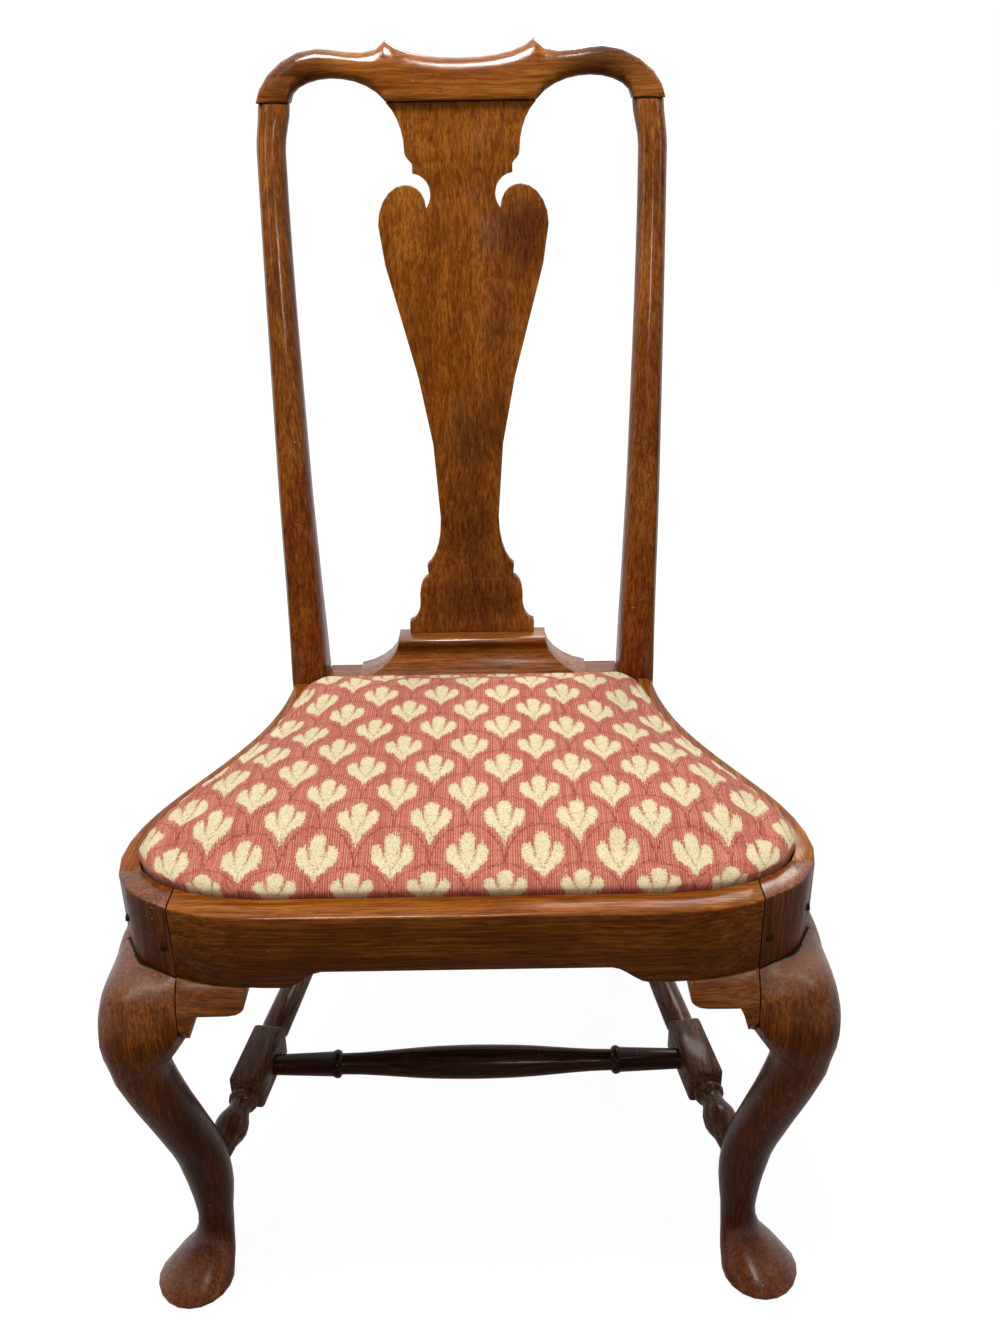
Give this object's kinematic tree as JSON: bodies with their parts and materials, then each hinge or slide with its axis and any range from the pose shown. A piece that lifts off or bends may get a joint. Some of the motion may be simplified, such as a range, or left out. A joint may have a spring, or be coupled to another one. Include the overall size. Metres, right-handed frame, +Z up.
{
  "type": "queen anne side chair",
  "caption": "Side chair with a vase splat under a yoke crest, cabriole front legs on pad feet, turned stretchers and a lift-out upholstered seat.",
  "frame": {"origin": "on the floor, under the middle of the chair's outer box", "axes": "+Z up, +Y from the front edge of the seat towards the back, +X to the right for someone who faces the front of the chair"},
  "size_m": [0.5838, 0.5498, 1.0165],
  "materials": {
    "walnut": "polished reddish brown, worn at the edges",
    "dark_walnut": "polished, darker",
    "splat_walnut": "polished golden brown, upright grain",
    "pin_oak": "dull end grain",
    "frame_pine": "bare planed softwood",
    "webbing": "plain jute tape",
    "hessian": "coarse plain weave",
    "wadding": "soft felted fibre",
    "rose_cloth": "rose red woven cloth with cream leaf figures"
  },
  "bodies": {
    "frame": {"crest_rail": "walnut", "splat": "splat_walnut", "shoe": "walnut", "rear_post_left": "walnut", "rear_post_right": "walnut", "front_leg_left": "walnut", "front_leg_right": "walnut", "front_seat_rail": "walnut", "rear_seat_rail": "walnut", "side_rail_left": "walnut", "side_rail_right": "walnut", "knee_bracket_front_left": "walnut", "knee_bracket_front_right": "walnut", "knee_bracket_side_left": "walnut", "knee_bracket_side_right": "walnut", "side_stretcher_left": "dark_walnut", "side_stretcher_right": "dark_walnut", "medial_stretcher": "dark_walnut", "rear_stretcher": "dark_walnut", "pin_front_left": "pin_oak", "pin_front_right": "pin_oak", "pin_side_left": "pin_oak", "pin_side_right": "pin_oak", "pin_rear_left": "pin_oak", "pin_rear_right": "pin_oak"},
    "slip_seat": {"slip_frame_front": "frame_pine", "slip_frame_rear": "frame_pine", "slip_frame_left": "frame_pine", "slip_frame_right": "frame_pine", "webbing_long_1": "webbing", "webbing_long_2": "webbing", "webbing_long_3": "webbing", "webbing_cross_1": "webbing", "webbing_cross_2": "webbing", "webbing_cross_3": "webbing", "seat_hessian": "hessian", "seat_wadding": "wadding", "seat_cover": "rose_cloth"}
  },
  "joints": [
    {"name": "slip_seat_lift", "type": "slide", "parent": "frame", "child": "slip_seat", "axis": [0, 0, 1], "range_m": [0, 0.15]}
  ]
}
